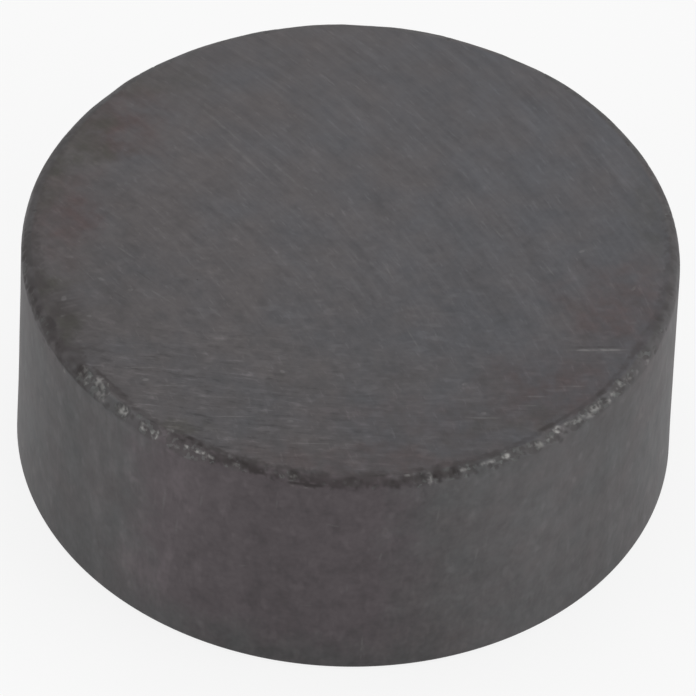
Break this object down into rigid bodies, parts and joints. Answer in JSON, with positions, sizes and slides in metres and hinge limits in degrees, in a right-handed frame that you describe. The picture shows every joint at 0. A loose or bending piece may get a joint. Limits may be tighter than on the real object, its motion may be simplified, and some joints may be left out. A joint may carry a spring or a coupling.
{
  "type": "disc magnet",
  "caption": "Thick round disc magnet of sintered ferrite with two ground pole faces, an as-fired side wall and a worn, chipped upper edge.",
  "frame": {"origin": "centre of the lower pole face, on the disc's axis", "axes": "+Z along the disc's axis from the lower pole face to the upper one, which has the chipped edge; -Y towards the side with the chips"},
  "size_m": [0.025, 0.025, 0.01],
  "materials": {
    "sintered_ferrite": "satin"
  },
  "bodies": {
    "root": {"ferrite_disc": "sintered_ferrite"}
  },
  "joints": []
}
